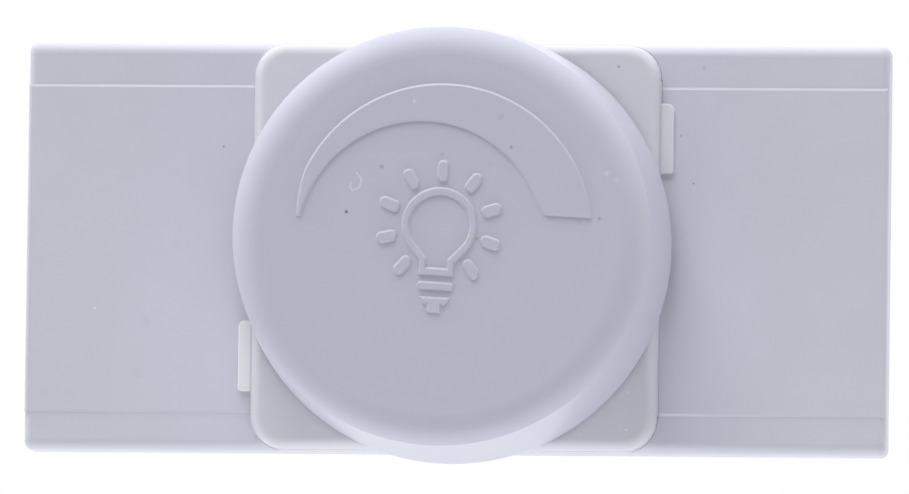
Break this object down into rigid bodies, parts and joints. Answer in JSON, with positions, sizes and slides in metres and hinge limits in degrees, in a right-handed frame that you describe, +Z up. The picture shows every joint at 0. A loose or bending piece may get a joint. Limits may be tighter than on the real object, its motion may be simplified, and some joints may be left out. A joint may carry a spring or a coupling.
{
  "type": "dimmer switch module",
  "caption": "Rotary lamp dimmer module: a round knob on a square bezel over a stepped rectangular cover plate, with a snap-in rear housing and clamp terminals.",
  "frame": {"origin": "on the knob's axis, in the plane of the cover plate's rear rim, which seats on the support frame", "axes": "-Y out of the wall towards the user, +X right and +Z up as the user sees it"},
  "size_m": [0.0676, 0.0446, 0.034],
  "materials": {
    "plate_plastic": "fine satin, cool silver grey",
    "knob_plastic": "fine satin, cool silver grey",
    "base_plastic": "satin, light warm grey",
    "housing_plastic": "fine spark-eroded texture, light grey",
    "terminal_plastic": "satin, dark grey",
    "switch_plastic": "satin, black",
    "cam_plastic": "smooth, natural white",
    "laminate": "brown paper laminate",
    "green_laminate": "green coated glass laminate",
    "carbon_film": "printed carbon, matt",
    "plated_steel": "zinc or nickel plated",
    "brass": "turned and drawn brass",
    "tinned_brass": "tinned",
    "copper_winding": "enamelled wire, modelled as a sleeve",
    "ferrite": "sintered, matt dark grey",
    "aluminium": "plain sheet",
    "epoxy": "moulded epoxy, black",
    "film_case": "plain yellow case",
    "timing_case": "dipped, dark red",
    "resistor_lacquer": "tan lacquer",
    "diac_glass": "orange glass body",
    "fuse_glass": "clear"
  },
  "bodies": {
    "base": {"cover_plate": "plate_plastic", "dial_base": "base_plastic", "pot_bushing": "plated_steel", "pot_washer": "plated_steel", "pot_nut": "plated_steel", "pot_can": "plated_steel", "pot_wafer": "laminate", "resistive_track": "carbon_film", "pot_lugs": "tinned_brass", "switch_body": "switch_plastic", "switch_pivot": "plated_steel", "fixed_contacts": "tinned_brass", "circuit_board": "green_laminate", "rear_housing": "housing_plastic", "housing_screws": "plated_steel", "terminal_block": "terminal_plastic", "terminal_bars": "tinned_brass", "choke_core": "ferrite", "choke_winding": "copper_winding", "heat_sink": "aluminium", "triac_tab": "tinned_brass", "triac_body": "epoxy", "triac_leads": "tinned_brass", "triac_rivet": "aluminium", "fuse_tube": "fuse_glass", "fuse_wire": "tinned_brass", "fuse_caps": "tinned_brass", "fuse_clips": "tinned_brass", "resistors": "resistor_lacquer", "diac": "diac_glass", "film_capacitor": "film_case", "timing_capacitors": "timing_case"},
    "dial": {"knob": "knob_plastic", "pot_shaft": "aluminium", "wiper_disc": "switch_plastic", "wiper_contact": "brass", "switch_cam": "cam_plastic"},
    "switch": {"switch_lever": "cam_plastic", "contact_blade": "brass"},
    "line_screw": {"line_terminal_screw": "plated_steel"},
    "load_screw": {"load_terminal_screw": "plated_steel"},
    "line_cage": {"line_terminal_cage": "plated_steel"},
    "load_cage": {"load_terminal_cage": "plated_steel"}
  },
  "joints": [
    {"name": "knob_turn", "type": "hinge", "parent": "base", "child": "dial", "pos_m": [0, 0, 0], "axis": [0, 1, 0], "range_deg": [-150, 150]},
    {"name": "switch_throw", "type": "hinge", "parent": "base", "child": "switch", "pos_m": [0.0062, 0.0079, -0.00468], "axis": [0, -1, 0], "range_deg": [0, 5]},
    {"name": "line_screw_turn", "type": "hinge", "parent": "base", "child": "line_screw", "pos_m": [0.027, 0.0197, 0.0056], "axis": [-1, 0, 0], "range_deg": [0, 1440]},
    {"name": "line_cage_lift", "type": "slide", "parent": "base", "child": "line_cage", "axis": [1, 0, 0], "range_m": [0, 0.002]},
    {"name": "load_screw_turn", "type": "hinge", "parent": "base", "child": "load_screw", "pos_m": [0.027, 0.0197, -0.0056], "axis": [-1, 0, 0], "range_deg": [0, 1440]},
    {"name": "load_cage_lift", "type": "slide", "parent": "base", "child": "load_cage", "axis": [1, 0, 0], "range_m": [0, 0.002]}
  ],
  "couplings": [
    {"joint": "line_screw_turn", "follows": "line_cage_lift", "rad_per_m": 12566},
    {"joint": "load_screw_turn", "follows": "load_cage_lift", "rad_per_m": 12566}
  ]
}
